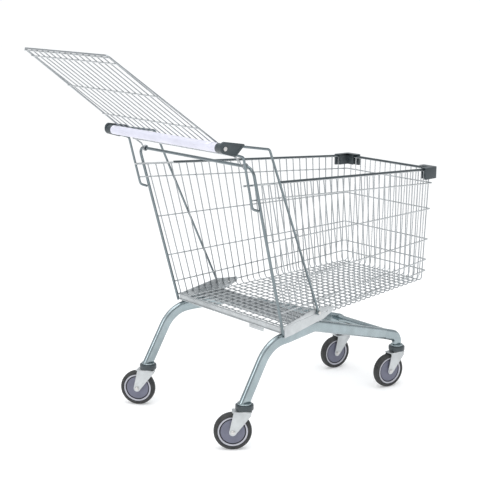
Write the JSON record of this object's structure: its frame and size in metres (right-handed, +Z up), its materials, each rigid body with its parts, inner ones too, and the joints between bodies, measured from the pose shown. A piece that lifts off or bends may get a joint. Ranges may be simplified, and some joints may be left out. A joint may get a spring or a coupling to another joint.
{
  "type": "shopping cart",
  "caption": "Wire supermarket shopping cart with a hinged rear gate swung up onto the push handle, plastic rim strips and swivel castors.",
  "frame": {"origin": "centre of the cart's footprint box, on the floor under the wheels; the frame's own middle plane is at Y = -17.3 mm, because the left rear castor is turned outwards", "axes": "+X is the direction of travel, +Y the cart's left, +Z up"},
  "size_m": [1.4119, 0.6693, 1.2858],
  "materials": {
    "zinc_wire": "bright zinc plated wire",
    "zinc_tube": "bright zinc plated tube and rod",
    "zinc_sheet": "bright zinc plated pressed sheet",
    "dark_plastic": "dark blue-grey moulded plastic",
    "handle_plastic": "pale lavender smooth plastic",
    "tyre_rubber": "dark grey rubber",
    "hub_plastic": "blue-grey moulded wheel centre with a pale ring",
    "bolt_steel": "plated fasteners"
  },
  "bodies": {
    "cart": {"chassis_tube_left": "zinc_tube", "chassis_tube_right": "zinc_tube", "front_cross_tube": "zinc_tube", "cross_plate": "zinc_sheet", "side_plate_left": "zinc_sheet", "side_plate_right": "zinc_sheet", "rear_floor_angle": "zinc_sheet", "stop_plate": "zinc_sheet", "upright_frame": "zinc_tube", "handle_rod_left": "zinc_tube", "handle_rod_right": "zinc_tube", "stay_left": "zinc_tube", "stay_right": "zinc_tube", "stay_bolt_left": "bolt_steel", "stay_bolt_right": "bolt_steel", "basket_left": "zinc_wire", "basket_right": "zinc_wire", "basket_front": "zinc_wire", "basket_floor": "zinc_wire", "rim_rail_left": "zinc_wire", "rim_rail_right": "zinc_wire", "rim_rail_front": "zinc_wire", "rim_strip_left": "dark_plastic", "rim_strip_right": "dark_plastic", "rim_strip_front": "dark_plastic", "corner_bumper_left": "dark_plastic", "corner_bumper_right": "dark_plastic", "handle_tube": "handle_plastic", "handle_core": "zinc_tube", "handle_bracket_left": "dark_plastic", "handle_bracket_right": "dark_plastic", "bracket_screw_left": "bolt_steel", "bracket_screw_right": "bolt_steel", "castor_head_rear_right": "zinc_tube", "castor_collar_rear_right": "dark_plastic", "castor_head_rear_left": "zinc_tube", "castor_collar_rear_left": "dark_plastic", "castor_head_front_right": "zinc_tube", "castor_collar_front_right": "dark_plastic", "castor_head_front_left": "zinc_tube", "castor_collar_front_left": "dark_plastic"},
    "gate": {"gate": "zinc_wire"},
    "fork_rear_right": {"castor_fork_rear_right": "zinc_sheet", "axle_bolt_rear_right": "bolt_steel"},
    "wheel_rear_right": {"wheel_hub_rear_right": "hub_plastic", "tyre_rear_right": "tyre_rubber"},
    "fork_rear_left": {"castor_fork_rear_left": "zinc_sheet", "axle_bolt_rear_left": "bolt_steel"},
    "wheel_rear_left": {"wheel_hub_rear_left": "hub_plastic", "tyre_rear_left": "tyre_rubber"},
    "fork_front_right": {"castor_fork_front_right": "zinc_sheet", "axle_bolt_front_right": "bolt_steel"},
    "wheel_front_right": {"wheel_hub_front_right": "hub_plastic", "tyre_front_right": "tyre_rubber"},
    "fork_front_left": {"castor_fork_front_left": "zinc_sheet", "axle_bolt_front_left": "bolt_steel"},
    "wheel_front_left": {"wheel_hub_front_left": "hub_plastic", "tyre_front_left": "tyre_rubber"}
  },
  "joints": [
    {"name": "gate_hinge", "type": "hinge", "parent": "cart", "child": "gate", "pos_m": [-0.2286, -0.0173, 0.926], "axis": [0, 1, 0], "range_deg": [0, 208.5]},
    {"name": "swivel_rear_right", "type": "hinge", "parent": "cart", "child": "fork_rear_right", "pos_m": [-0.2316, -0.2863, 0.13], "axis": [0, 0, 1], "continuous": true},
    {"name": "roll_rear_right", "type": "hinge", "parent": "fork_rear_right", "child": "wheel_rear_right", "pos_m": [-0.26179, -0.26322, 0.0625], "axis": [0.6074, 0.7944, 0], "continuous": true},
    {"name": "swivel_rear_left", "type": "hinge", "parent": "cart", "child": "fork_rear_left", "pos_m": [-0.2316, 0.2517, 0.13], "axis": [0, 0, 1], "continuous": true},
    {"name": "roll_rear_left", "type": "hinge", "parent": "fork_rear_left", "child": "wheel_rear_left", "pos_m": [-0.25557, 0.28119, 0.0625], "axis": [0.776, 0.6307, 0], "continuous": true},
    {"name": "swivel_front_right", "type": "hinge", "parent": "cart", "child": "fork_front_right", "pos_m": [0.6114, -0.1603, 0.13], "axis": [0, 0, 1], "continuous": true},
    {"name": "roll_front_right", "type": "hinge", "parent": "fork_front_right", "child": "wheel_front_right", "pos_m": [0.57377, -0.15501, 0.0625], "axis": [0.1392, 0.9903, 0], "continuous": true},
    {"name": "swivel_front_left", "type": "hinge", "parent": "cart", "child": "fork_front_left", "pos_m": [0.6114, 0.1257, 0.13], "axis": [0, 0, 1], "continuous": true},
    {"name": "roll_front_left", "type": "hinge", "parent": "fork_front_left", "child": "wheel_front_left", "pos_m": [0.57377, 0.13099, 0.0625], "axis": [0.1392, 0.9903, 0], "continuous": true}
  ]
}
